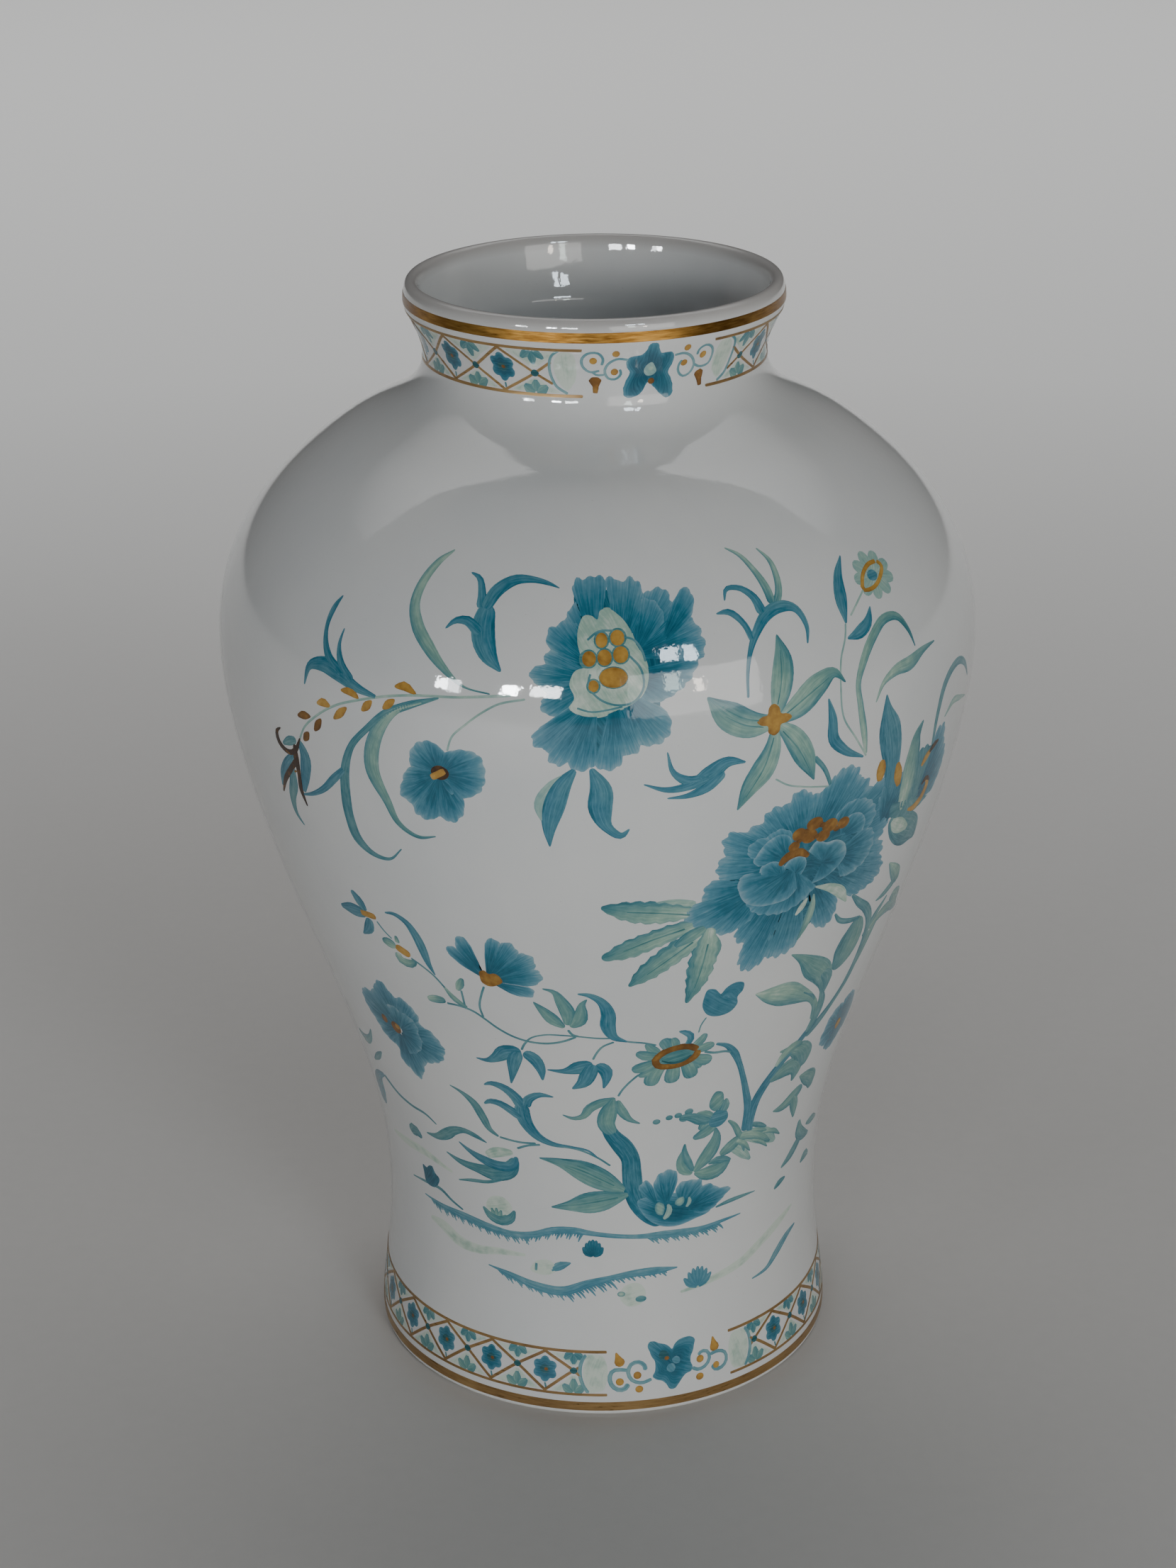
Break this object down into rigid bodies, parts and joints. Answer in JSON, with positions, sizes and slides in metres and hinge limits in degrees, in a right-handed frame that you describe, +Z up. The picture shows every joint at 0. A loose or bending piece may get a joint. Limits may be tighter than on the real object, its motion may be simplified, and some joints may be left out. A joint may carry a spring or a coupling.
{
  "type": "vase",
  "caption": "Baluster porcelain vase with a flared neck, gilt bands at lip and foot, and blue and green flower painting.",
  "frame": {"origin": "centre of the foot ring, on the surface the vase stands on", "axes": "+Z up along the vase's axis of revolution, -Y towards the front viewer; the front star flower of the borders is 17 degrees from -Y towards +X"},
  "size_m": [0.1728, 0.1728, 0.26],
  "materials": {
    "porcelain": "clear gloss glaze",
    "gilding": "burnished fired-on gold",
    "blue_enamel": "gloss enamel colour",
    "green_enamel": "gloss enamel colour",
    "ochre_enamel": "gloss enamel colour"
  },
  "bodies": {
    "root": {"porcelain_body": "porcelain", "rim_gilt_band": "gilding", "foot_gilt_band": "gilding", "neck_border_upper_gilt_line": "gilding", "neck_border_lower_gilt_line": "gilding", "foot_border_upper_gilt_line": "gilding", "foot_border_lower_gilt_line": "gilding"}
  },
  "joints": []
}
